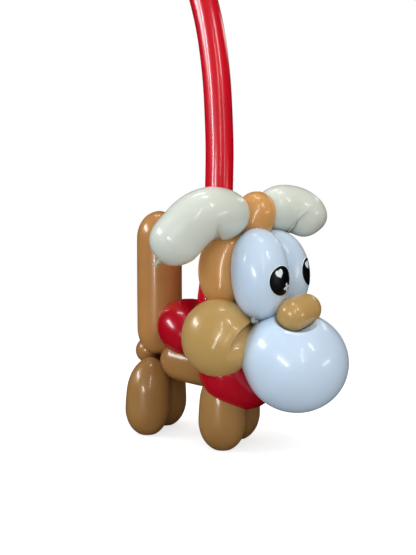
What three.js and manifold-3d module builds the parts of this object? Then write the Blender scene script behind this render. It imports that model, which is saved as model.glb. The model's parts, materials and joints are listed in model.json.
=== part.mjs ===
// Balloon poodle on a balloon leash, in millimetres.
// The dog looks along +X, its left side is +Y and it stands on its four feet with +Z up.
import * as THREE from "three";
import { mergeVertices } from "three/addons/utils/BufferGeometryUtils.js";
import Module from "manifold-3d";

const wasm = await Module();
wasm.setup();

// ---------- sizes ----------
const fineness = 0.12; // flat faces that lie closer than this to one plane are joined up
const gap = 0.3; // air kept between two balloons that press on each other
const twist = 2.4; // radius of the rope of rubber where a bubble is twisted off

// mocha body balloon
const legRadius = 22;
const legHeight = 74;
const footFlat = 2.4; // height of the small flat each foot rests on
const frontLegX = 2;
const rearLegX = -85.5;
const legSpread = 18.5; // half the distance between the two legs of a pair
const legSkew = 4; // the right leg of a pair sits this far ahead of its middle
const backRadius = 19.5;
const tailRadius = 22.2;
const tailTop = 217;
const rumpRadius = 13;
const neckRadius = 16.5;

// mocha head balloon
const cheekSize = [32, 27, 34]; // half its length, thickness and height
const cheekCentre = [13, -36, 101.5];
const cheekTurn = 0.611;
const foldCentre = [46.3, -12.6, 84.6]; // middle of the bend that the fold in a cheek follows
const foldBend = 33.3;
const foldWidth = 1.8;
const foldDepth = 3.2;
const templeRadius = 19.8;
const crownRadius = 18.4;
const noseRadius = 14.4;

// white face balloon and white muzzle
const faceRadius = 24.9;
const faceCap = 37.8;
const muzzleRadius = 45.4;
const muzzleHalf = 43.2;
const muzzleCentre = [69, 0, 81];
const muzzleBulge = 3.6; // how far it swells beside the right cheek
const bulgeWay = [-0.555, -0.573, 0.602];
const hollowCentre = [80.7, -19.4, 131.2];
const hollowRadius = 23;

// other balloons and the stickers
const rightEarRadius = 22.2;
const leftEarRadius = 21.6;
const collarRadius = 22;
const leashRadius = 13;
const stickerThick = 0.4;
const eyeHeight = 26;
const eyeWidth = 26;

const vec = (p) => new THREE.Vector3(...p);
const mirror = (points) => points.map(([x, y, z]) => [x, -y, z]);

// ---------- bubbles ----------
// Height of a balloon's outline at the distance x from its tip: a round end of the length cap
// that rises from the twist to the full radius.
function capRise(x, cap) {
  const k = Math.min(Math.max(x / cap, 0), 1);
  return Math.sqrt(1 - (1 - k) * (1 - k));
}

// Stations along a bubble, packed towards both ends so that the round ends stay round.
function stations(count) {
  const list = [];
  for (let i = 0; i <= count; i++) {
    const s = (1 - Math.cos((Math.PI * i) / count)) / 2;
    list.push(0.82 * s + 0.18 * (i / count));
  }
  return list;
}

// Rings set square to a line and closed with a point at each end.
function skin(rings) {
  const verts = [];
  const faces = [];
  const size = rings[0].points.length;
  for (const ring of rings) {
    for (const p of ring.points) verts.push(p.x, p.y, p.z);
  }
  const first = verts.length / 3;
  const last = first + 1;
  const a = rings[0].middle;
  const b = rings[rings.length - 1].middle;
  verts.push(a.x, a.y, a.z, b.x, b.y, b.z);
  for (let k = 0; k < rings.length - 1; k++) {
    for (let j = 0; j < size; j++) {
      const n = (j + 1) % size;
      const p = k * size + j;
      const q = k * size + n;
      faces.push(p, q, q + size, p, q + size, p + size);
    }
  }
  const top = (rings.length - 1) * size;
  for (let j = 0; j < size; j++) {
    const n = (j + 1) % size;
    faces.push(first, n, j, last, top + j, top + n);
  }
  return new wasm.Manifold(
    new wasm.Mesh({
      numProp: 3,
      vertProperties: new Float32Array(verts),
      triVerts: new Uint32Array(faces),
    }),
  );
}

// Directions square to a line at each of its stations, carried along without a sudden turn.
function framesAlong(curve, marks) {
  const frames = [];
  const first = curve.getTangentAt(marks[0]);
  let normal = Math.abs(first.z) < 0.8 ? vec([0, 0, 1]) : vec([1, 0, 0]);
  for (const s of marks) {
    const tangent = curve.getTangentAt(s);
    normal = normal.clone().addScaledVector(tangent, -normal.dot(tangent)).normalize();
    const side = tangent.clone().cross(normal);
    frames.push({ s, at: curve.getPointAt(s), tangent, normal, side });
  }
  return frames;
}

// A bubble of twisted balloon: the line it follows, its radius, the lengths of its two round
// ends and how it swells.
function bubble(line, radius, options = {}) {
  const { sides = 16, count = 11, swell = null, extra = 0 } = options;
  const caps = [options.cap ?? radius * 1.15].flat();
  const curve = new THREE.CatmullRomCurve3(line.map(vec), false, "centripetal");
  curve.arcLengthDivisions = 400;
  const length = curve.getLength();
  const rings = [];
  for (const { s, at, tangent, normal, side } of framesAlong(curve, stations(count))) {
    const x = s * length;
    const full = radius * (swell ? swell(s) : 1);
    const rise = Math.min(capRise(x, caps[0]), capRise(length - x, caps[caps.length - 1]));
    const r = Math.max(full * rise, twist) + extra;
    const push = s < 0.001 ? -extra : s > 0.999 ? extra : 0;
    const middle = at.clone().addScaledVector(tangent, push);
    const points = [];
    for (let j = 0; j < sides; j++) {
      const a = (2 * Math.PI * j) / sides;
      const p = middle.clone().addScaledVector(normal, r * Math.cos(a));
      points.push(p.addScaledVector(side, r * Math.sin(a)));
    }
    rings.push({ points, middle });
  }
  return skin(rings);
}

// A plain length of twisted rubber between two bubbles.
function rope(line, radius = twist, extra = 0) {
  return bubble(line, radius, { sides: 8, count: 3, cap: 0.01, extra });
}

// The tied end of a balloon: a rolled knot and the flared mouth it was blown up through.
function knot(start, end, radius, extra) {
  const along = (share) => vec(start).lerp(vec(end), share).toArray();
  return join([
    bubble([start, along(0.65)], radius, { extra, sides: 8, count: 4, cap: radius }),
    bubble([along(0.5), end], radius * 0.9, { extra, sides: 8, count: 3, cap: 0.6 }),
  ]);
}

function join(parts) {
  return parts.reduce((sum, part) => sum.add(part));
}

// A round balloon with its poles at top and bottom.
function ball(centre, size, around, turn = 0) {
  const shape = new THREE.SphereGeometry(1, around, 2 * Math.round(around * 0.3));
  shape.rotateX(Math.PI / 2);
  shape.scale(...size);
  shape.rotateZ(turn);
  shape.translate(...centre);
  return shape;
}

// Takes the neighbours away from a balloon and keeps the one piece that is left.
function pressed(part, ...others) {
  let left = part;
  for (const other of others) left = left.subtract(other);
  const pieces = left.decompose();
  pieces.sort((a, b) => b.volume() - a.volume());
  return pieces[0];
}

// Everything under the floor is cut away, which leaves each foot with its flat.
function standing(part) {
  const slab = new THREE.BoxGeometry(400, 200, 40);
  slab.translate(0, 0, -20);
  return part.subtract(solid(slab));
}

function solid(geometry) {
  const bare = new THREE.BufferGeometry();
  bare.setAttribute("position", geometry.getAttribute("position").clone());
  if (geometry.index) bare.setIndex(geometry.index.clone());
  const merged = mergeVertices(bare, 1e-4);
  return new wasm.Manifold(
    new wasm.Mesh({
      numProp: 3,
      vertProperties: new Float32Array(merged.attributes.position.array),
      triVerts: new Uint32Array(merged.index.array),
    }),
  );
}

// ---------- body: legs, back, rump, tail and neck from one balloon ----------
function leg(x, y, extra) {
  const line = [[x, y, -footFlat], [x, y, legHeight * 0.35], [x * 0.98, y * 0.75, legHeight]];
  const swell = (s) => 1 - 0.07 * s * s;
  return bubble(line, legRadius, { extra, sides: 12, count: 6, cap: [28, 32], swell });
}

function bodyBalloon(extra = 0) {
  const parts = [];
  for (const x of [rearLegX, frontLegX]) {
    parts.push(leg(x + legSkew, -legSpread, extra));
    parts.push(leg(x - legSkew, legSpread, extra));
  }
  const back = [[-76, 0, 73], [-45, 0, 70], [-6, 0, 67]];
  parts.push(bubble(back, backRadius, { extra, sides: 12, count: 6, cap: 21 }));
  const tail = [[-81, 0, 74], [-81.6, 0, 140], [-81.6, 0, tailTop]];
  parts.push(bubble(tail, tailRadius, { extra, sides: 12, count: 7, cap: 26 }));
  const rump = [[-82, 0, 77], [-94, -2, 78], [-107, -4, 78]];
  parts.push(bubble(rump, rumpRadius, { extra, sides: 10, count: 6 }));
  return join(parts);
}

function neckBubble(extra = 0) {
  return bubble([[-6, 0, 66], [4, 0, 86], [20, 0, 108]], neckRadius, { extra, sides: 10, count: 5 });
}

// ---------- head: crown, temples and puffy cheeks ----------
// The fold of the cheek is a bent groove in its outer side. It is left out of the wide form,
// which only serves to press the neighbours.
function rightCheek(extra) {
  const grown = (by) => cheekSize.map((half) => half + by);
  const cheek = solid(ball(cheekCentre, grown(extra), 18, cheekTurn));
  if (extra > 0) return cheek;
  const core = solid(ball(cheekCentre, grown(-foldDepth), 14, cheekTurn));
  const groove = post(foldBend + foldWidth / 2).subtract(post(foldBend - foldWidth / 2));
  return cheek.subtract(groove.subtract(core));
}

function post(radius) {
  const shape = new THREE.CylinderGeometry(radius, radius, 60, 28);
  shape.translate(0, -30, 0);
  shape.rotateZ(cheekTurn);
  shape.translate(...foldCentre);
  return solid(shape);
}

function headBalloon(extra = 0) {
  const crown = [[20, -4, 187], [28, 0, 207], [34, 0, 229]];
  const parts = [
    bubble(crown, crownRadius, { extra, sides: 12, count: 5, cap: [19, 18.5] }),
    rope([[16, -16, 188], [18, 0, 191], [16, 16, 188]], 4, extra),
  ];
  const line = [[14, -14, 127], [6, -22, 160], [16, -12, 195]];
  const temple = bubble(line, templeRadius, { extra, sides: 10, count: 5, cap: [24, 20] });
  const cheek = rightCheek(extra);
  const across = [0, 1, 0];
  parts.push(temple, cheek, temple.mirror(across), cheek.mirror(across));
  return join(parts);
}

function noseBalloon(extra = 0) {
  const line = [[71.4, -27.8, 119], [74.2, -14, 123.2], [77.4, 1.8, 126.4], [80.1, 15, 126.8]];
  const swell = (s) => 1 - 0.06 * s;
  return bubble(line, noseRadius, { extra, sides: 12, count: 7, cap: 14, swell });
}

// ---------- face and muzzle ----------
const faceLines = {
  right: [[35.2, -12.2, 195.1], [46.5, -22, 156.5], [40.8, -12.6, 116.8]],
  left: [[35, 7.5, 195.1], [44.5, 20.5, 156.5], [40.5, 12.5, 117.9]],
};

function faceBubble(side, extra) {
  return bubble(faceLines[side], faceRadius, { extra, sides: 14, count: 8, cap: faceCap });
}

// The two bubbles are twisted together at the top and at the bottom; the tied end of the
// balloon shows beside the right cheek.
function faceBalloon(extra = 0) {
  return join([
    faceBubble("right", extra),
    faceBubble("left", extra),
    rope([[41, -8, 118], [42.6, -18, 116.8], [44.2, -24, 117]], 2.2, extra),
    knot([44.2, -23, 117], [43.8, -29.5, 118], 2.4, extra),
  ]);
}

function rising(low, high, value) {
  const share = Math.min(1, Math.max(0, (value - low) / (high - low)));
  return share * share * (3 - 2 * share);
}

// Round, but for a bulge beside the right cheek.
function muzzleBalloon(extra = 0) {
  const across = muzzleRadius + extra;
  const shape = ball(muzzleCentre, [across, across, muzzleHalf + extra], 24);
  const spots = shape.getAttribute("position");
  const way = vec(bulgeWay);
  for (let i = 0; i < spots.count; i++) {
    const spot = new THREE.Vector3().fromBufferAttribute(spots, i);
    const out = spot.clone().sub(vec(muzzleCentre)).normalize();
    spot.addScaledVector(out, muzzleBulge * rising(0.5, 1, out.dot(way)));
    spots.setXYZ(i, spot.x, spot.y, spot.z);
  }
  return solid(shape);
}

// The nose pulls the top of the muzzle down into a hollow.
function muzzleHollow() {
  const across = hollowRadius;
  return solid(ball(hollowCentre, [across, across, across], 16));
}

// ---------- ears: one ivory balloon passed under the crown ----------
function earBalloon(extra = 0) {
  const right = [[-18.1, -77.4, 167.9], [-6.8, -69.5, 185.2], [11, -55, 206], [19.2, -33, 207]];
  right.push([26, -14, 204]);
  const left = [[66, 40.5, 193], [54.8, 40.4, 209.5], [43, 28.5, 215.5], [32, 4, 207]];
  return join([
    bubble(right, rightEarRadius, { extra, sides: 14, count: 8, cap: [22.2, 25] }),
    bubble(left, leftEarRadius, { extra, sides: 12, count: 7, cap: [21.6, 25] }),
    rope([[30, -16, 204], [34, -4, 203], [34, 10, 207]], 3, extra),
    knot([-16.6, -76.2, 170], [-21.6, -80.6, 163.4], 2.4, extra),
  ]);
}

// ---------- collar and leash ----------
function collarBalloon(extra = 0) {
  const nape = [[-10, -25, 91], [-30, -25, 101], [-46, -13, 108]];
  const throat = [[-8, -23, 88], [7, -25, 73], [17, -17, 60]];
  const round = (half, front) => [...half, front, ...mirror(half).reverse()];
  return join([
    bubble(round(nape, [-50, 0, 109]), collarRadius, { extra, sides: 10, count: 8, cap: 34 }),
    bubble(round(throat, [21, 0, 56]), collarRadius, { extra, sides: 10, count: 8, cap: 34 }),
    rope([[-10, -25, 96], [-8, -24, 84]], 5, extra),
    rope([[-10, 25, 96], [-8, 24, 84]], 5, extra),
  ]);
}

function leashBalloon(extra = 0) {
  const line = [[-22, 0, 118], [-15, 0, 160], [-10.5, 0, 236], [-10.6, 0, 293]];
  line.push([-17, 0, 363], [-28, 0, 411], [-44, 0, 455], [-60, 0, 488]);
  return bubble(line, leashRadius, { extra, sides: 12, count: 12, cap: 16 });
}

// ---------- eye stickers ----------
function eye(side, middle, turn) {
  const shell = faceBubble(side, gap + stickerThick).subtract(faceBubble(side, gap));
  const disc = new THREE.CylinderGeometry(1, 1, 60, 24);
  disc.rotateZ(Math.PI / 2);
  disc.translate(30, 0, 0);
  disc.scale(1, eyeWidth / 2, eyeHeight / 2);
  disc.rotateZ(turn);
  disc.translate(...middle);
  return shell.intersect(solid(disc));
}

// ---------- the part ----------
const rubber = { roughness: 0.22, metalness: 0 };
const paints = {
  mocha: { color: 0xb3863f, ...rubber },
  white: { color: 0xe8eef4, ...rubber },
  ivory: { color: 0xdcdccb, ...rubber },
  red: { color: 0xc8002c, ...rubber },
  black: { color: 0x0c0c10, roughness: 0.35, metalness: 0 },
};

const part = new THREE.Group();
part.name = "balloon_poodle";

function put(name, shape, paint) {
  const mesh = shape.simplify(fineness).getMesh();
  const geometry = new THREE.BufferGeometry();
  const spots = new Float32Array(mesh.vertProperties);
  geometry.setAttribute("position", new THREE.BufferAttribute(spots, 3));
  geometry.setIndex(new THREE.BufferAttribute(new Uint32Array(mesh.triVerts), 1));
  geometry.computeVertexNormals();
  const item = new THREE.Mesh(geometry, new THREE.MeshStandardMaterial(paints[paint]));
  item.name = name;
  part.add(item);
}

const wide = {
  neck: neckBubble(gap),
  head: headBalloon(gap),
  face: faceBalloon(gap),
  muzzle: muzzleBalloon(gap),
  nose: noseBalloon(gap),
  ears: earBalloon(gap),
  leash: leashBalloon(gap),
  collar: collarBalloon(gap),
};
const muzzle = pressed(muzzleBalloon(), wide.nose, wide.face, muzzleHollow());
const head = pressed(headBalloon(), wide.face, wide.muzzle, wide.ears, wide.leash);
const collar = pressed(collarBalloon(), wide.neck, wide.muzzle, wide.head, wide.leash);
const neck = pressed(neckBubble(), wide.head, wide.muzzle);
const body = pressed(bodyBalloon(), wide.collar, wide.head).add(neck);

put("body_balloon", standing(body), "mocha");
put("muzzle_balloon", muzzle, "white");
put("face_balloon", pressed(faceBalloon(), wide.nose), "white");
put("ear_balloon", pressed(earBalloon(), wide.face, wide.leash), "ivory");
put("head_balloon", head, "mocha");
put("collar_balloon", collar, "red");
put("leash_balloon", leashBalloon(), "red");
put("nose_balloon", noseBalloon(), "mocha");
put("right_eye", eye("right", [46.5, -22, 151.5], -0.22), "black");
put("left_eye", eye("left", [44.5, 21, 158.5], 0.2), "black");

// The origin is on the floor under the middle of the whole part.
const box = new THREE.Box3().setFromObject(part);
const middle = box.getCenter(new THREE.Vector3());
for (const item of part.children) item.geometry.translate(-middle.x, -middle.y, -box.min.z);
part.userData.shift = [-middle.x, -middle.y, -box.min.z];

export default part;
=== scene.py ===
"""Balloon poodle: every balloon is drawn out ring by ring, bent along its line, pressed on its
neighbours and painted."""

import json
import math

import bpy
from mathutils import Matrix, Vector


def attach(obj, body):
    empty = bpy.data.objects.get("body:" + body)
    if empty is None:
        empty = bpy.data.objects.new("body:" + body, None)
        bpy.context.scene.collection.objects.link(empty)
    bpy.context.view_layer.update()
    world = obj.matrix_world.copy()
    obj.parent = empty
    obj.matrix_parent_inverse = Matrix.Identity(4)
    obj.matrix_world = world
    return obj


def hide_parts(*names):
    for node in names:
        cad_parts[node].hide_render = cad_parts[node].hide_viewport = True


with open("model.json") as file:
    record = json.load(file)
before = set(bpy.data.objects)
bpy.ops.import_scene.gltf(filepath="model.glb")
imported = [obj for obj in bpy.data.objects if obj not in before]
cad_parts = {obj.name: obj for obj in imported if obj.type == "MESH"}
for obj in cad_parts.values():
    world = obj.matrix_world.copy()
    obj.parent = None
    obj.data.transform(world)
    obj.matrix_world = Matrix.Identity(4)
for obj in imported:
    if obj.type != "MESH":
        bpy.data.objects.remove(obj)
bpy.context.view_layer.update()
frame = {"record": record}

MM = 0.001

# The dog's own frame: +X is the way it looks, +Y its left, +Z up, in millimetres. The record
# gives the place of the front right foot, whose own place on the dog is known.
FRONT_RIGHT_FOOT = (6.0, -18.5, 0.0)
HOME = Vector(frame["record"]["mounts"][0]["pos_m"]) - MM * Vector(FRONT_RIGHT_FOOT)


def at(x, y, z):
    """A place on the dog, as metres in the shared frame."""
    return HOME + MM * Vector((x, y, z))


def mirrored(line):
    """The same line on the dog's other side."""
    return [(x, -y, z) for x, y, z in line]


# ---------- sizes, in millimetres ----------
TWIST = 2.4  # radius of the rope of rubber where a bubble is twisted off
SIDES = 16
ROUND = 1.025  # smoothing a sixteen-sided ring draws it in by this much

LEG_RADIUS = 22.0
LEG_HEIGHT = 74.0
LEG_SPREAD = 18.5  # half the distance between the two legs of a pair
LEG_SKEW = 4.0  # the right leg of a pair sits this far ahead of its middle
FOOT_FLAT = 2.4  # how much of each foot the floor cuts away
FRONT_LEGS = 2.0  # where the middle of each pair stands, along the dog
REAR_LEGS = -85.5
BACK_RADIUS = 19.5
TAIL_RADIUS = 22.2
TAIL_TOP = 217.0
RUMP_RADIUS = 13.0
NECK_RADIUS = 16.5

CROWN_RADIUS = 18.4
TEMPLE_RADIUS = 19.8
CHEEK_CENTRE = (13.0, -36.0, 101.5)
CHEEK_LENGTH = 32.0  # half its length, its height and its thickness
CHEEK_HEIGHT = 34.0
CHEEK_THICKNESS = 27.0
# the cheek's slit is an arc: its middle, from the cheek's own middle, its radius and its depth
SLIT_RIGHT = 40.7
SLIT_UP = -16.9
SLIT_BEND = 33.3
SLIT_DEPTH = 9.5

NOSE_RADIUS = 14.4
FACE_RADIUS = 24.9
FACE_CAP = 37.8  # length of a face bubble's long round ends
MUZZLE_CENTRE = (69.0, 0.0, 81.0)
MUZZLE_RADIUS = 45.4
MUZZLE_HALF = 43.2  # half its height: it is a little flattened
MUZZLE_BULGE = 3.6
HOLLOW_CENTRE = (80.7, -19.4, 131.2)
HOLLOW_RADIUS = 23.0

RIGHT_EAR_RADIUS = 22.2
LEFT_EAR_RADIUS = 21.6
COLLAR_RADIUS = 22.0
LEASH_RADIUS = 13.0
STICKER_RADIUS = 13.0

CAMERA = (321.9, -492.5, 169.5)
YAW = math.radians(35)
PITCH = math.radians(-1.66)


def seen(right, up, near):
    """A direction from the dog's right front: to the right, up and towards the viewer."""
    side = Vector((math.cos(YAW), math.sin(YAW), 0))
    rear = Vector((math.sin(YAW), -math.cos(YAW), 0))
    return side * right + Vector((0, 0, up)) + rear * near


# ---------- working by hand ----------
def only(piece):
    """Deselects everything, then takes up one piece."""
    bpy.ops.object.select_all(action="DESELECT")
    piece.select_set(True)
    bpy.context.view_layer.objects.active = piece


def apply_all(piece):
    only(piece)
    for modifier in list(piece.modifiers):
        bpy.ops.object.modifier_apply(modifier=modifier.name)


def place(piece):
    """Puts the piece's own place into its mesh."""
    only(piece)
    bpy.ops.object.transform_apply(location=True, rotation=True, scale=True)


def joined(name, parts):
    """Several bubbles of one balloon become one piece."""
    bpy.ops.object.select_all(action="DESELECT")
    for part in parts:
        part.select_set(True)
    bpy.context.view_layer.objects.active = parts[0]
    bpy.ops.object.join()
    parts[0].name = name
    parts[0].data.name = name
    return parts[0]


def bend_line(line):
    """A smooth line through the places given, for a straight bubble to follow."""
    data = bpy.data.curves.new("line", "CURVE")
    data.dimensions = "3D"
    data.resolution_u = 24
    spline = data.splines.new("BEZIER")
    spline.bezier_points.add(len(line) - 1)
    for point, spot in zip(spline.bezier_points, line):
        point.co = at(*spot)
        point.handle_left_type = point.handle_right_type = "AUTO"
    path = bpy.data.objects.new("line", data)
    bpy.context.scene.collection.objects.link(path)
    bpy.context.view_layer.update()
    return path


def outline(length, radius, cap, ends, swell, span):
    """Stations along a bubble and its radius at each: two round ends and a body between."""
    caps = [min(c, length * 0.5) for c in cap]
    marks = []
    steps = 6
    for i in range(steps):
        turn = math.pi / 2 * (i + 0.35) / steps
        marks.append((caps[0] * (1 - math.cos(turn)), math.sin(turn)))
    middle = length - caps[0] - caps[1]
    spans = max(1, round(middle / span))
    for i in range(spans + 1):
        if middle > 1 or i == 0:
            marks.append((caps[0] + middle * i / spans, 1.0))
    for i in reversed(range(steps)):
        turn = math.pi / 2 * (i + 0.35) / steps
        marks.append((length - caps[1] * (1 - math.cos(turn)), math.sin(turn)))
    rings = []
    for x, share in marks:
        full = radius * (swell(x / length) if swell else 1.0)
        rings.append([x, full * share])
    for end, order in ((0, 0), (1, -1)):
        tip = 0.0 if end == 0 else length
        if ends[end] == "twist":
            rings[order][1] = max(rings[order][1], TWIST)
            rings.insert(0 if end == 0 else len(rings), [tip, TWIST])
        else:
            rings.insert(0 if end == 0 else len(rings), [tip, 0.05 * radius])
    return rings


def blow(name, line, radius, cap=None, ends=("twist", "twist"), swell=None, span=12.0,
         tone=(0.0, 0.0), levels=2):
    """One bubble: a ring drawn out along X, smoothed, then bent along its line.

    Cap is the length of its round ends, swell how its radius changes along it, span how far apart
    its rings lie and tone how warm and how deep its colour is. The deep share of a tone is partly
    painted shade, given to bubbles low on the dog.
    """
    path = bend_line(line)
    length = path.data.splines[0].calc_length() / MM
    cap = cap or (radius * 1.15, radius * 1.15)
    if not isinstance(cap, tuple):
        cap = (cap, cap)
    rings = outline(length, radius * ROUND, cap, ends, swell, span)
    bpy.ops.object.select_all(action="DESELECT")
    bpy.ops.mesh.primitive_circle_add(
        vertices=SIDES, radius=rings[0][1] * MM, fill_type="NGON", rotation=(0, math.pi / 2, 0)
    )
    tube = bpy.context.object
    tube.name = name
    place(tube)
    bpy.ops.object.mode_set(mode="EDIT")
    bpy.ops.mesh.select_mode(type="VERT")
    bpy.ops.mesh.select_all(action="SELECT")
    for i in range(1, len(rings)):
        forward = (rings[i][0] - rings[i - 1][0]) * MM
        grow = rings[i][1] / rings[i - 1][1]
        bpy.ops.mesh.extrude_region_move(TRANSFORM_OT_translate={"value": (forward, 0, 0)})
        bpy.ops.transform.resize(value=(1, grow, grow))
    bpy.ops.mesh.select_all(action="SELECT")
    bpy.ops.mesh.normals_make_consistent(inside=False)
    bpy.ops.object.mode_set(mode="OBJECT")
    smooth = tube.modifiers.new("smooth", "SUBSURF")
    smooth.levels = smooth.render_levels = levels
    bend = tube.modifiers.new("bend", "CURVE")
    bend.object = path
    bend.deform_axis = "POS_X"
    apply_all(tube)
    bpy.data.objects.remove(path)
    for kind, share in zip(("warm", "thick"), tone):
        tint = tube.data.attributes.new(kind, "FLOAT", "POINT")
        tint.data.foreach_set("value", [share] * len(tube.data.vertices))
    only(tube)
    bpy.ops.object.shade_smooth()
    return tube


def press(piece, *others, relax=4, above=-1000.0):
    """Neighbours push a dent in the piece above a height, and its rim is eased."""
    upper = piece.vertex_groups.new(name="upper")
    upper.add([v.index for v in piece.data.vertices if v.co.z > above * MM], 1.0, "REPLACE")
    for other in others:
        wrap = piece.modifiers.new("press", "SHRINKWRAP")
        wrap.target = other
        wrap.wrap_method = "NEAREST_SURFACEPOINT"
        wrap.wrap_mode = "OUTSIDE"
        wrap.offset = 0.15 * MM
        wrap.vertex_group = "upper"
    ease = piece.modifiers.new("ease", "SMOOTH")
    ease.factor = 0.5
    ease.iterations = relax
    apply_all(piece)
    piece.vertex_groups.remove(piece.vertex_groups["upper"])


def standing(piece):
    """Cuts the feet flat at the floor."""
    only(piece)
    bpy.ops.object.mode_set(mode="EDIT")
    bpy.ops.mesh.select_all(action="SELECT")
    bpy.ops.mesh.bisect(
        plane_co=(0, 0, 0), plane_no=(0, 0, 1), use_fill=True, clear_inner=True, threshold=1e-7
    )
    bpy.ops.object.mode_set(mode="OBJECT")


def mark_twists(piece, places, reach=9.0):
    """Notes on the mesh how near each point is to a twist: 1 at the twist, falling to 0."""
    spots = [at(*p) for p in places]
    near = piece.data.attributes.new("twist", "FLOAT", "POINT")
    values = []
    for vertex in piece.data.vertices:
        away = min((vertex.co - s).length for s in spots)
        values.append(math.exp(-((away / (reach * MM)) ** 2)))
    near.data.foreach_set("value", values)


def rising(low, high, value):
    """Goes smoothly from 0 to 1 as the value goes from low to high."""
    share = min(1.0, max(0.0, (value - low) / (high - low)))
    return share * share * (3 - 2 * share)


def crease(piece, start, end, depth, width):
    """Pinches a soft valley into the skin on the dog's right front.

    Its two ends are given as right and up; it is deepest at the start.
    """
    across, towards = seen(1, 0, 0), seen(0, 0, 1)
    run = Vector(end) - Vector(start)
    moves = []
    for vertex in piece.data.vertices:
        away = (vertex.co - HOME) / MM
        spot = Vector((away.dot(across), away.z)) - Vector(start)
        share = min(1.0, max(0.0, spot.dot(run) / run.length_squared))
        off = (spot - run * share).length / width
        if off < 3 and vertex.normal.dot(towards) > -0.2:
            fade = 1 - rising(0.3, 1.0, share)
            moves.append((vertex, vertex.normal * (-depth * MM * fade * math.exp(-off * off))))
    for vertex, move in moves:
        vertex.co += move
    piece.data.update()


def knot(name, start, end):
    """The tied end of a balloon: a rolled knot and the flared mouth beyond it."""
    def rolls(s):
        roll = math.exp(-(((s - 0.35) / 0.14) ** 2))
        return 1 + 1.1 * roll + 1.0 * rising(0.65, 0.95, s)

    middle = [(a + b) / 2 for a, b in zip(start, end)]
    return blow(
        name, [start, middle, end], 1.25, 0.4, ("twist", "round"), rolls, 0.4, tone=(0.0, 0.7)
    )


# ---------- body balloon ----------
def leg(x, y):
    line = [(x, y, -FOOT_FLAT), (x, y, LEG_HEIGHT * 0.35), (x * 0.98, y * 0.75, LEG_HEIGHT)]
    # The deep share of the tone is partly painted shade: the legs are made darker than the head, as
    # less light reaches them.
    return blow(
        "leg", line, LEG_RADIUS, (28.0, 32.0), ("round", "twist"), lambda s: 1 - 0.07 * s * s,
        tone=(0.0, 0.5)
    )


def body_balloon():
    parts = []
    for x in (REAR_LEGS, FRONT_LEGS):
        right = leg(x + LEG_SKEW, -LEG_SPREAD)
        left = leg(x - LEG_SKEW, LEG_SPREAD)
        press(left, right)
        parts += [right, left]
    back = [(-76, 0, 73), (-45, 0, 70), (-6, 0, 67)]
    tail = [(-81, 0, 74), (-81.6, 0, 140), (-81.6, 0, TAIL_TOP)]
    rump = [(-82, 0, 77), (-94, -2, 78), (-107, -4, 78)]
    neck = [(-6, 0, 66), (4, 0, 86), (20, 0, 108)]
    # The deep shares of these tones are partly painted shade: the back, tail, rump and neck are
    # made darker than the head, as less light reaches them.
    parts.append(blow("back", back, BACK_RADIUS, 21.0, tone=(0.5, 0.45)))
    parts.append(blow("tail", tail, TAIL_RADIUS, 26.0, ("twist", "round"), tone=(1.0, 0.35)))
    parts.append(blow("rump", rump, RUMP_RADIUS, tone=(0.5, 0.45)))
    parts.append(blow("neck", neck, NECK_RADIUS, tone=(0.5, 0.5)))
    body = joined("body", parts)
    standing(body)
    mark_twists(body, [(-80, 0, 75), (-4, 0, 68), (20, 0, 108), (-107, -4, 78)])
    return body


# ---------- head balloon ----------
def fold(puff):
    """Folds the cheek on itself: a rounded lip runs along a slit, with the inner fold behind it."""
    across, towards = seen(1, 0, 0), seen(0, 0, 1)
    for vertex in puff.data.vertices:
        away = (vertex.co - at(*CHEEK_CENTRE)) / MM
        if away.dot(towards) < 0:
            continue
        past = SLIT_BEND - math.hypot(away.dot(across) - SLIT_RIGHT, away.z - SLIT_UP)
        open_here = rising(-19, 5, away.z)
        band = rising(-30, -12, away.z)
        lip = math.exp(-(((past + 3.2) / 2.6) ** 2))
        sunk = rising(-0.4, 1.0, past) * (1 - 0.5 * rising(3, 16, past))
        vertex.co += across * (0.9 * lip * open_here * MM)
        vertex.co += towards * ((0.5 * lip * band - SLIT_DEPTH * sunk * open_here) * MM)


def right_cheek():
    """A puffy bubble, turned to face the viewer and folded."""
    puff = ball("cheek", (0, 0, 0), CHEEK_LENGTH, CHEEK_HEIGHT, 108, 1)
    puff.location = -HOME
    place(puff)
    puff.scale = (1, CHEEK_THICKNESS / CHEEK_LENGTH, 1)
    puff.rotation_euler = (0, 0, YAW)
    puff.location = at(*CHEEK_CENTRE)
    place(puff)
    fold(puff)
    ease = puff.modifiers.new("ease", "SMOOTH")
    ease.factor = 0.5
    ease.iterations = 2
    apply_all(puff)
    return puff


def other_side(piece):
    """A copy for the dog's left, with its own mesh, turned right side out."""
    only(piece)
    bpy.ops.object.duplicate()
    copy = bpy.context.object
    bpy.ops.object.mode_set(mode="EDIT")
    bpy.ops.mesh.select_all(action="SELECT")
    bpy.ops.transform.resize(value=(1, -1, 1), center_override=HOME)
    bpy.ops.mesh.normals_make_consistent(inside=False)
    bpy.ops.object.mode_set(mode="OBJECT")
    return copy


def head_balloon():
    crown_line = [(20, -4, 187), (28, 0, 207), (34, 0, 229)]
    right_temple = [(14, -14, 127), (6, -22, 160), (16, -12, 195)]
    crown = blow(
        "crown", crown_line, CROWN_RADIUS, (19, 18.5), ("twist", "round"), tone=(1.0, 0.0)
    )
    parts = [crown]
    for line in (right_temple, mirrored(right_temple)):
        parts.append(blow("temple", line, TEMPLE_RADIUS, (24.0, 20.0), tone=(1.0, 0.0)))
    near_cheek = right_cheek()
    parts += [near_cheek, other_side(near_cheek)]
    head = joined("head", parts)
    mark_twists(head, [(22, 0, 193), (14, -14, 127), (14, 14, 127), (35, -22, 117), (35, 22, 117)])
    return head


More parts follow.
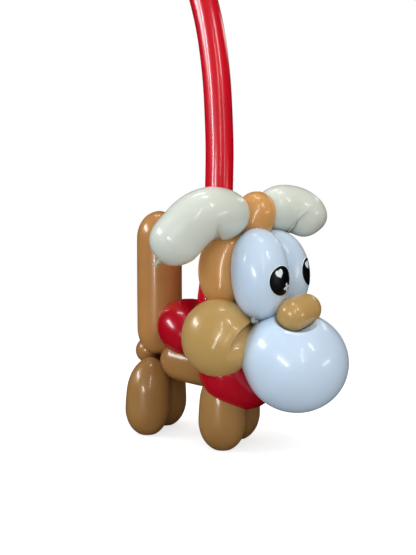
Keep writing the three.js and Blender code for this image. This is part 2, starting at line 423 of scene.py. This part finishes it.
# ---------- face and muzzle ----------
def face_balloon():
    right_line = [(35.2, -12.2, 195.1), (46.5, -22, 156.5), (40.8, -12.6, 116.8)]
    left_line = [(35, 7.5, 195.1), (44.5, 20.5, 156.5), (40.5, 12.5, 117.9)]
    stem_line = [(41, -13, 117.5), (42.6, -18, 116.8), (44.2, -24, 117)]
    right = blow("face", right_line, FACE_RADIUS, FACE_CAP)
    left = blow("face", left_line, FACE_RADIUS, FACE_CAP)
    press(left, right)
    # The stem and knot take much of the white's deep grey: partly the rubber's deeper colour in a
    # knot, partly painted shade where they sit between cheek and muzzle.
    stem = blow("stem", stem_line, 2.2, 0.8, tone=(0.0, 0.7))
    parts = [right, left, stem, knot("stalk", (44.2, -23, 117), (43.8, -29.5, 118))]
    face = joined("face", parts)
    mark_twists(face, [(36, 0, 195), (40, 0, 118), (44.5, -28, 117.5)])
    return face


def ball(name, centre, radius, height=None, segments=48, levels=2):
    """A round balloon, with its poles at top and bottom."""
    bpy.ops.object.select_all(action="DESELECT")
    bpy.ops.mesh.primitive_uv_sphere_add(
        segments=segments, ring_count=segments * 2 // 3, radius=radius * MM
    )
    piece = bpy.context.object
    piece.name = name
    bpy.ops.object.mode_set(mode="EDIT")
    bpy.ops.mesh.select_all(action="SELECT")
    bpy.ops.transform.resize(value=(1, 1, (height or radius) / radius))
    bpy.ops.object.mode_set(mode="OBJECT")
    piece.location = at(*centre)
    place(piece)
    smooth = piece.modifiers.new("smooth", "SUBSURF")
    smooth.levels = smooth.render_levels = levels
    apply_all(piece)
    only(piece)
    bpy.ops.object.shade_smooth()
    return piece


def muzzle_balloon(nose, face):
    """Round, but for a bulge beside the cheek and the hollow the nose presses in its top."""
    muzzle = ball("muzzle", MUZZLE_CENTRE, MUZZLE_RADIUS, MUZZLE_HALF)
    bulge = seen(-0.78, 0.6, 0.15).normalized()
    for vertex in muzzle.data.vertices:
        out = (vertex.co - at(*MUZZLE_CENTRE)).normalized()
        vertex.co += out * (MUZZLE_BULGE * MM * rising(0.5, 1.0, out.dot(bulge)))
    hollow = ball("hollow", HOLLOW_CENTRE, HOLLOW_RADIUS)
    press(muzzle, hollow, relax=50)
    bpy.data.objects.remove(hollow)
    press(muzzle, nose, relax=2)
    press(muzzle, face, relax=2, above=100.0)
    mark_twists(muzzle, [(76, -2, 112)])
    return muzzle


def nose_balloon():
    line = [(71.4, -27.8, 119.0), (74.2, -14, 123.2), (75.8, -6, 125), (77.4, 1.8, 126.4)]
    line.append((80.1, 15, 126.8))
    nose = blow("nose", line, NOSE_RADIUS, 14.0, ("round", "round"), lambda s: 1 - 0.06 * s)
    mark_twists(nose, [line[-1]], reach=5.0)
    return nose


# ---------- ears ----------
def ear_balloon():
    right_line = [(-18.1, -77.4, 167.9), (-6.8, -69.5, 185.2), (11, -55, 206), (19.2, -33, 207)]
    right_line.append((26, -14, 204))
    left_line = [(66, 40.5, 193), (54.8, 40.4, 209.5), (43, 28.5, 215.5), (32, 4, 207)]
    bridge_line = [(30, -16, 204), (34, -4, 203), (34, 10, 207)]
    ends = ("round", "twist")
    right = blow("ear", right_line, RIGHT_EAR_RADIUS, (22.2, 25), ends, span=8.0, levels=3)
    left = blow("ear", left_line, LEFT_EAR_RADIUS, (21.6, 25), ends, span=8.0, levels=3)
    crease(right, (-10.5, 182.5), (-7.8, 203.0), 2.7, 2.4)
    crease(left, (53.5, 193.5), (63.5, 207.5), 1.2, 2.4)
    bridge = blow("bridge", bridge_line, 3.0, 1.0)
    tied = knot("knot", (-16.6, -76.2, 170.0), (-21.6, -80.6, 163.4))
    ears = joined("ears", [right, left, bridge, tied])
    mark_twists(ears, [right_line[-1], left_line[-1], right_line[0]])
    return ears


# ---------- collar and leash ----------
def collar_balloon():
    nape = [(-10, -25, 91), (-30, -25, 101), (-46, -13, 108), (-50, 0, 109)]
    nape += mirrored(nape[:3])[::-1]
    throat = [(-8, -23, 88), (7, -25, 73), (17, -17, 60), (21, 0, 56)]
    throat += mirrored(throat[:3])[::-1]
    parts = [
        blow("nape", nape, COLLAR_RADIUS, 34.0),
        blow("throat", throat, COLLAR_RADIUS, 34.0),
    ]
    collar = joined("collar", parts)
    mark_twists(collar, [(-9, -25, 90), (-9, 25, 90)])
    return collar


def leash_balloon():
    line = [(-22, 0, 118), (-15, 0, 160), (-10.5, 0, 236), (-10.6, 0, 293)]
    line += [(-17, 0, 363), (-28, 0, 411), (-44, 0, 455), (-60, 0, 488)]
    leash = blow("leash", line, LEASH_RADIUS, 16.0, ("round", "round"), tone=(1.0, 0.0))
    mark_twists(leash, [(-22, 0, 118)])
    return leash


# ---------- eyes ----------
def eye_sticker(name, middle, turn, face):
    """A thin disc laid on the face, printed side out."""
    bpy.ops.object.select_all(action="DESELECT")
    radius = STICKER_RADIUS * MM
    bpy.ops.mesh.primitive_circle_add(vertices=64, radius=radius, fill_type="NGON")
    disc = bpy.context.object
    disc.name = name
    bpy.ops.object.mode_set(mode="EDIT")
    bpy.ops.mesh.select_all(action="SELECT")
    for _ in range(8):
        bpy.ops.mesh.inset(thickness=1.5 * MM)
    bpy.ops.mesh.poke()
    bpy.ops.object.mode_set(mode="OBJECT")
    layer = disc.data.uv_layers.new(name="print")
    for corner in disc.data.loops:
        spot = disc.data.vertices[corner.vertex_index].co
        layer.data[corner.index].uv = (spot.x / radius, spot.y / radius)
    out = Vector((math.cos(turn), math.sin(turn), 0))
    across = Vector((-math.sin(turn), math.cos(turn), 0))
    basis = Matrix((across, Vector((0, 0, 1)), out)).transposed().to_4x4()
    centre = at(*middle) + out * 40 * MM
    disc.matrix_world = Matrix.Translation(centre) @ basis
    lay = disc.modifiers.new("lay", "SHRINKWRAP")
    lay.target = face
    lay.wrap_method = "PROJECT"
    lay.use_project_z = True
    lay.use_negative_direction = True
    lay.use_positive_direction = False
    lay.offset = 0.35 * MM
    thick = disc.modifiers.new("thick", "SOLIDIFY")
    thick.thickness = 0.3 * MM
    thick.offset = -1
    apply_all(disc)
    place(disc)
    only(disc)
    bpy.ops.object.shade_smooth()
    return disc


# ---------- materials ----------
def paint(red, green, blue):
    """A colour as a painter's chart gives it, 0 to 255, made linear."""
    def linear(c):
        c /= 255
        return c / 12.92 if c <= 0.04045 else ((c + 0.055) / 1.055) ** 2.4
    return (linear(red), linear(green), linear(blue), 1.0)


def step(tree, operation, *values, clamp=False):
    """One sum in a node tree. Each value is a number or what another node gives."""
    node = tree.nodes.new("ShaderNodeMath")
    node.operation = operation
    node.use_clamp = clamp
    for socket, value in zip(node.inputs, values):
        if isinstance(value, (int, float)):
            socket.default_value = value
        else:
            tree.links.new(value, socket)
    return node.outputs[0]


def blend(tree, share, first, second):
    """Mixes two colours by a share. A colour is four numbers or what another node gives."""
    node = tree.nodes.new("ShaderNodeMix")
    node.data_type = "RGBA"
    tree.links.new(share, node.inputs["Factor"])
    for name, colour in (("A", first), ("B", second)):
        if isinstance(colour, tuple):
            node.inputs[name].default_value = colour
        else:
            tree.links.new(colour, node.inputs[name])
    return node.outputs["Result"]


def mesh_note(tree, name):
    """A value that was noted on the mesh."""
    node = tree.nodes.new("ShaderNodeAttribute")
    node.attribute_name = name
    return node.outputs["Fac"]


def noise(tree, scale):
    """Soft noise through the rubber, 0 to 1. The scale is a number or what another node gives."""
    where = tree.nodes.new("ShaderNodeTexCoord")
    node = tree.nodes.new("ShaderNodeTexNoise")
    node.inputs["Detail"].default_value = 2
    tree.links.new(where.outputs["Object"], node.inputs["Vector"])
    if isinstance(scale, (int, float)):
        node.inputs["Scale"].default_value = scale
    else:
        tree.links.new(scale, node.inputs["Scale"])
    return node.outputs["Fac"]


def latex_group():
    """How blown-up latex varies: thicker and deeper in colour by a twist, and faintly cloudy.

    It reads three notes on the mesh: twist, how near a twist is; warm, how far the skin leans to
    its warm colour; and thick, how far it leans to its deep one. The thick note is partly the
    rubber's own deeper colour and partly painted shade: it is highest on the legs, back and neck,
    low on the dog, and nought on the head.
    """
    group = bpy.data.node_groups.new("latex_skin", "ShaderNodeTree")
    colour, number = "NodeSocketColor", "NodeSocketFloat"
    for name in ("Skin", "Warm", "Deep"):
        group.interface.new_socket(name=name, in_out="INPUT", socket_type=colour)
    for name in ("Twist depth", "Cloud", "Cloud size", "Satin"):
        group.interface.new_socket(name=name, in_out="INPUT", socket_type=number)
    group.interface.new_socket(name="Colour", in_out="OUTPUT", socket_type=colour)
    group.interface.new_socket(name="Roughness", in_out="OUTPUT", socket_type=number)
    group.interface.new_socket(name="Height", in_out="OUTPUT", socket_type=number)
    given = group.nodes.new("NodeGroupInput").outputs
    result = group.nodes.new("NodeGroupOutput").inputs
    cloud = noise(group, given["Cloud size"])
    by_twist = step(group, "MULTIPLY", mesh_note(group, "twist"), given["Twist depth"])
    cloudy = step(group, "MULTIPLY_ADD", cloud, given["Cloud"], by_twist)
    deeper = step(group, "ADD", cloudy, mesh_note(group, "thick"), clamp=True)
    base = blend(group, mesh_note(group, "warm"), given["Skin"], given["Warm"])
    group.links.new(blend(group, deeper, base, given["Deep"]), result["Colour"])
    group.links.new(step(group, "MULTIPLY_ADD", cloud, 0.06, given["Satin"]), result["Roughness"])
    group.links.new(noise(group, 160), result["Height"])
    return group


LATEX = latex_group()


def latex(name, skin, warm, deep, glow_colour, satin=0.22, pearl=0.0, coat=0.5):
    """Glossy rubber. Satin is the roughness under the coat, pearl how metallic the sheen is."""
    material = bpy.data.materials.new(name)
    material.use_nodes = True
    nodes, links = material.node_tree.nodes, material.node_tree.links
    shader = nodes["Principled BSDF"]
    rubber = nodes.new("ShaderNodeGroup")
    rubber.node_tree = LATEX
    given = {
        "Skin": skin, "Warm": warm, "Deep": deep, "Satin": satin,
        "Twist depth": 0.8, "Cloud": 0.25, "Cloud size": 28,
    }
    for name, value in given.items():
        rubber.inputs[name].default_value = value
    links.new(rubber.outputs["Colour"], shader.inputs["Base Color"])
    links.new(rubber.outputs["Roughness"], shader.inputs["Roughness"])
    bump = nodes.new("ShaderNodeBump")
    bump.inputs["Strength"].default_value = 0.004
    bump.inputs["Distance"].default_value = 0.0004
    links.new(rubber.outputs["Height"], bump.inputs["Height"])
    links.new(bump.outputs["Normal"], shader.inputs["Normal"])
    shader.inputs["Metallic"].default_value = pearl
    shader.inputs["Coat Weight"].default_value = coat
    shader.inputs["Coat Roughness"].default_value = 0.07
    shader.inputs["Subsurface Weight"].default_value = 0.25
    shader.inputs["Subsurface Radius"].default_value = glow_colour
    shader.inputs["Subsurface Scale"].default_value = 0.008
    return material


def placed(tree, x, y, turn, size_x, size_y):
    """Across and up on the sticker, measured in a shape that is placed, turned and sized."""
    uv = tree.nodes.new("ShaderNodeUVMap")
    uv.uv_map = "print"
    mapping = tree.nodes.new("ShaderNodeMapping")
    mapping.vector_type = "TEXTURE"
    mapping.inputs["Location"].default_value = (x, y, 0)
    mapping.inputs["Rotation"].default_value = (0, 0, turn)
    mapping.inputs["Scale"].default_value = (size_x, size_y, 1)
    tree.links.new(uv.outputs["UV"], mapping.inputs["Vector"])
    split = tree.nodes.new("ShaderNodeSeparateXYZ")
    tree.links.new(mapping.outputs["Vector"], split.inputs["Vector"])
    return split.outputs["X"], split.outputs["Y"]


def squares(tree, x, y):
    """x2 + y2, with its two parts."""
    x2 = step(tree, "MULTIPLY", x, x)
    y2 = step(tree, "MULTIPLY", y, y)
    return step(tree, "ADD", x2, y2), x2, y2


def within(tree, value, edge, width):
    """1 where the value is under the edge, 0 where it is over it, with a soft edge."""
    inside = step(tree, "MULTIPLY", step(tree, "SUBTRACT", edge, value), 1 / width)
    return step(tree, "ADD", inside, 0.5, clamp=True)


def oval(tree):
    total, _, _ = squares(tree, *placed(tree, 0, 0, 0, 1, 1))
    return within(tree, step(tree, "SQRT", total), 0.95, 0.02)


def heart(tree):
    """Inside the curve (x2 + y2 - 1)^3 = x2 y3."""
    x, y = placed(tree, -0.24, 0.42, 0.4, 0.26, 0.235)
    total, x2, y2 = squares(tree, x, y)
    less = step(tree, "SUBTRACT", total, 1)
    cube = step(tree, "MULTIPLY", step(tree, "MULTIPLY", less, less), less)
    lobes = step(tree, "MULTIPLY", x2, step(tree, "MULTIPLY", y2, y))
    return within(tree, step(tree, "SUBTRACT", cube, lobes), 0, 0.06)


def sparkle(tree):
    """Four petals round a point."""
    x, y = placed(tree, 0.52, -0.42, 0.35, 0.34, 0.30)
    total, _, _ = squares(tree, x, y)
    doubled = step(tree, "MULTIPLY", step(tree, "ARCTAN2", y, x), 2)
    petal = step(tree, "ABSOLUTE", step(tree, "COSINE", doubled))
    return within(tree, step(tree, "SUBTRACT", step(tree, "SQRT", total), petal), 0, 0.12)


def eye_print(name):
    """A black oval on white, with a heart and a sparkle left white."""
    material = bpy.data.materials.new(name)
    material.use_nodes = True
    tree = material.node_tree
    shader = tree.nodes["Principled BSDF"]
    left_white = step(tree, "MAXIMUM", heart(tree), sparkle(tree))
    ink = step(tree, "MULTIPLY", oval(tree), step(tree, "SUBTRACT", 1, left_white))
    colour = blend(tree, ink, paint(232, 238, 244), paint(9, 9, 12))
    rough = step(tree, "ADD", step(tree, "MULTIPLY", ink, 0.08), 0.28)
    tree.links.new(colour, shader.inputs["Base Color"])
    tree.links.new(rough, shader.inputs["Roughness"])
    shader.inputs["Specular IOR Level"].default_value = 0.3
    return material


# ---------- lights, floor and camera ----------
MIDDLE = at(0, 0, 120)


def camera():
    """Stands at the dog's right front, a little above its head."""
    data = bpy.data.cameras.new("camera")
    data.lens = 41.51
    data.sensor_width = 36
    eye = bpy.data.objects.new("camera", data)
    eye.location = at(*CAMERA)
    eye.rotation_euler = (math.pi / 2 + PITCH, 0, YAW)
    bpy.context.scene.collection.objects.link(eye)
    bpy.context.scene.camera = eye
    data.clip_start = 0.01


def panel(name, direction, along, length, width, power, colour=(1, 1, 1), away=2.0):
    """A bright panel, its long side lying along a direction."""
    data = bpy.data.lights.new(name, "AREA")
    data.shape = "RECTANGLE"
    data.size, data.size_y = length, width
    data.energy = power
    data.color = colour
    lamp = bpy.data.objects.new(name, data)
    facing = direction.normalized()
    side = (along - facing * along.dot(facing)).normalized()
    turned = Matrix((side, facing.cross(side), facing)).transposed().to_4x4()
    lamp.matrix_world = Matrix.Translation(MIDDLE + facing * away) @ turned
    bpy.context.scene.collection.objects.link(lamp)
    return lamp


def shine_on(lamp, pieces):
    """A lamp that lights the named pieces only."""
    lit = bpy.data.collections.new(lamp.name + "_lights")
    for piece in pieces:
        lit.objects.link(piece)
    lamp.light_linking.receiver_collection = lit


COOL, WARM = (0.86, 0.93, 1.0), (1, 0.97, 0.9)


def windows():
    """Panels whose reflections show in the rubber."""
    panel("window_far", seen(-0.84, 0.46, 0.12), seen(0.15, -0.3, 0.9), 1.0, 0.34, 15, COOL)
    near = panel("window_near", seen(-0.46, 0.1, 0.87), seen(0.4, -0.4, 0.3), 0.6, 0.2, 8, COOL)
    shine_on(near, [nose, muzzle, face, right_eye, left_eye, body, ears, collar, leash])
    slant = panel("window_slant", seen(-0.1, -0.1, 0.95), seen(0.5, 0.9, 0.15), 1.5, 0.2, 16, COOL)
    shine_on(slant, [head])
    panel("ceiling_back", seen(-0.16, 0.97, -0.2), seen(1, 0, 0.2), 0.55, 0.16, 3.5)
    panel("ceiling_front", seen(0.08, 0.98, 0.18), seen(1, 0, 0.2), 0.55, 0.16, 3.5)
    panel("doorway", seen(0.47, 0.62, 0.63), seen(-0.2, 1, 0), 0.6, 0.12, 3.5)
    panel("side_wall", seen(0.87, 0.05, 0.49), seen(0.3, 0.25, -0.5), 0.7, 0.14, 3, WARM)
    panel("back_wall", seen(0.58, 0.55, -0.56), seen(0.5, 0.3, 0.6), 0.9, 0.2, 1.5, WARM)
    panel("strip", seen(0.14, 0.4, 0.86), seen(0.05, 1, -0.3), 1.1, 0.1, 3.5, WARM)


def soft_light():
    """Wide panels above and behind that brighten the skin and make no highlight."""
    soft = panel("soft", seen(0.13, 0.74, 0.66), seen(1, 0, 0), 1.1, 1.1, 2.3, away=0.7)
    behind = panel("behind", seen(-0.4, 0.45, -0.8), seen(1, 0, 0), 1.2, 1.2, 2.2, away=1.0)
    for lamp in (soft, behind):
        lamp.visible_glossy = False


def leash_windows():
    """Two tall panels that draw the long streaks down the leash and light nothing else."""
    for right, front, power in ((-0.8, 0.57, 40), (0.65, 0.73, 5)):
        tall = panel("tall_window", seen(right, 0.3, front), seen(0, 1, 0), 2.4, 0.16, power, COOL)
        tall.visible_diffuse = False
        shine_on(tall, [leash])


def room():
    """A white room: bright behind the dog, and an even pale light from all around."""
    world = bpy.data.worlds.new("room")
    world.use_nodes = True
    nodes, links = world.node_tree.nodes, world.node_tree.links
    walls = nodes["Background"]
    ray = nodes.new("ShaderNodeLightPath")
    strength = nodes.new("ShaderNodeMix")
    strength.data_type = "FLOAT"
    strength.inputs["A"].default_value = 0.36
    strength.inputs["B"].default_value = 1.0
    links.new(ray.outputs["Is Camera Ray"], strength.inputs["Factor"])
    links.new(strength.outputs["Result"], walls.inputs["Strength"])
    walls.inputs["Color"].default_value = (1, 1, 1, 1)
    world.cycles_visibility.glossy = False
    bpy.context.scene.world = world
    bpy.context.scene.view_settings.view_transform = "Standard"


def floor():
    """A pale round floor that fades into the bright room."""
    bpy.ops.object.select_all(action="DESELECT")
    bpy.ops.mesh.primitive_circle_add(vertices=96, radius=6, fill_type="NGON")
    ground = bpy.context.object
    ground.name = "floor"
    bpy.ops.object.mode_set(mode="EDIT")
    bpy.ops.mesh.inset(thickness=2)
    bpy.ops.object.mode_set(mode="OBJECT")
    ground.location = (0, 0, -0.0002)
    material = bpy.data.materials.new("pale_floor")
    material.use_nodes = True
    shader = material.node_tree.nodes["Principled BSDF"]
    shader.inputs["Base Color"].default_value = (0.6, 0.6, 0.6, 1)
    shader.inputs["Roughness"].default_value = 0.8
    tree = material.node_tree
    nodes, links = tree.nodes, tree.links
    where = nodes.new("ShaderNodeTexCoord")
    far = nodes.new("ShaderNodeVectorMath")
    far.operation = "LENGTH"
    links.new(where.outputs["Object"], far.inputs[0])
    fade = nodes.new("ShaderNodeMapRange")
    fade.interpolation_type = "SMOOTHSTEP"
    fade.inputs["From Min"].default_value = 0.15
    fade.inputs["From Max"].default_value = 0.9
    links.new(far.outputs["Value"], fade.inputs["Value"])
    ray = nodes.new("ShaderNodeLightPath")
    shader.inputs["Emission Color"].default_value = (1, 1, 1, 1)
    lift = step(tree, "MULTIPLY", ray.outputs["Is Camera Ray"], 0.7)
    links.new(lift, shader.inputs["Emission Strength"])
    glow = nodes.new("ShaderNodeEmission")
    faint = nodes.new("ShaderNodeMapRange")
    faint.inputs["To Min"].default_value = 0.1
    links.new(ray.outputs["Is Camera Ray"], faint.inputs["Value"])
    links.new(faint.outputs["Result"], glow.inputs["Strength"])
    mix = nodes.new("ShaderNodeMixShader")
    links.new(fade.outputs["Result"], mix.inputs["Fac"])
    links.new(shader.outputs["BSDF"], mix.inputs[1])
    links.new(glow.outputs["Emission"], mix.inputs[2])
    links.new(mix.outputs["Shader"], nodes["Material Output"].inputs["Surface"])
    ground.data.materials.append(material)
    ground.visible_glossy = False


# ---------- the whole dog ----------
mocha = latex("mocha_latex", paint(203, 167, 101), paint(224, 166, 98), paint(124, 66, 22),
              (1, 0.5, 0.25), satin=0.28, pearl=0.06)
white_skin, ivory_skin = paint(207, 226, 245), paint(217, 221, 210)
# The white's deep colour is a grey that is partly painted shade: it darkens the face and muzzle
# about their twists, and the stem and knot between cheek and muzzle.
white = latex("white_latex", white_skin, white_skin, paint(160, 166, 166), (1, 0.9, 0.8), coat=0.3)
ivory = latex("ivory_latex", ivory_skin, ivory_skin, paint(186, 188, 168), (1, 0.9, 0.7), coat=0.3)
red = latex("red_latex", paint(182, 0, 27), paint(222, 0, 32), paint(105, 0, 15), (1, 0.2, 0.2))


def finish_piece(piece, material, node):
    piece.data.materials.clear()
    piece.data.materials.append(material)
    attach(piece, "root")
    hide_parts(node)


nose = nose_balloon()
face = face_balloon()
muzzle = muzzle_balloon(nose, face)
right_eye = eye_sticker("right_eye_print", (46.5, -22.0, 151.5), -0.22, face)
left_eye = eye_sticker("left_eye_print", (44.5, 21.0, 158.5), 0.2, face)
body = body_balloon()
head = head_balloon()
ears = ear_balloon()
collar = collar_balloon()
leash = leash_balloon()

finish_piece(nose, mocha, "nose_balloon")
finish_piece(muzzle, white, "muzzle_balloon")
finish_piece(face, white, "face_balloon")
finish_piece(body, mocha, "body_balloon")
finish_piece(head, mocha, "head_balloon")
finish_piece(ears, ivory, "ear_balloon")
finish_piece(collar, red, "collar_balloon")
finish_piece(leash, red, "leash_balloon")
sticker = eye_print("eye_print")
finish_piece(right_eye, sticker, "right_eye")
finish_piece(left_eye, sticker, "left_eye")

floor()
windows()
soft_light()
leash_windows()
room()
camera()
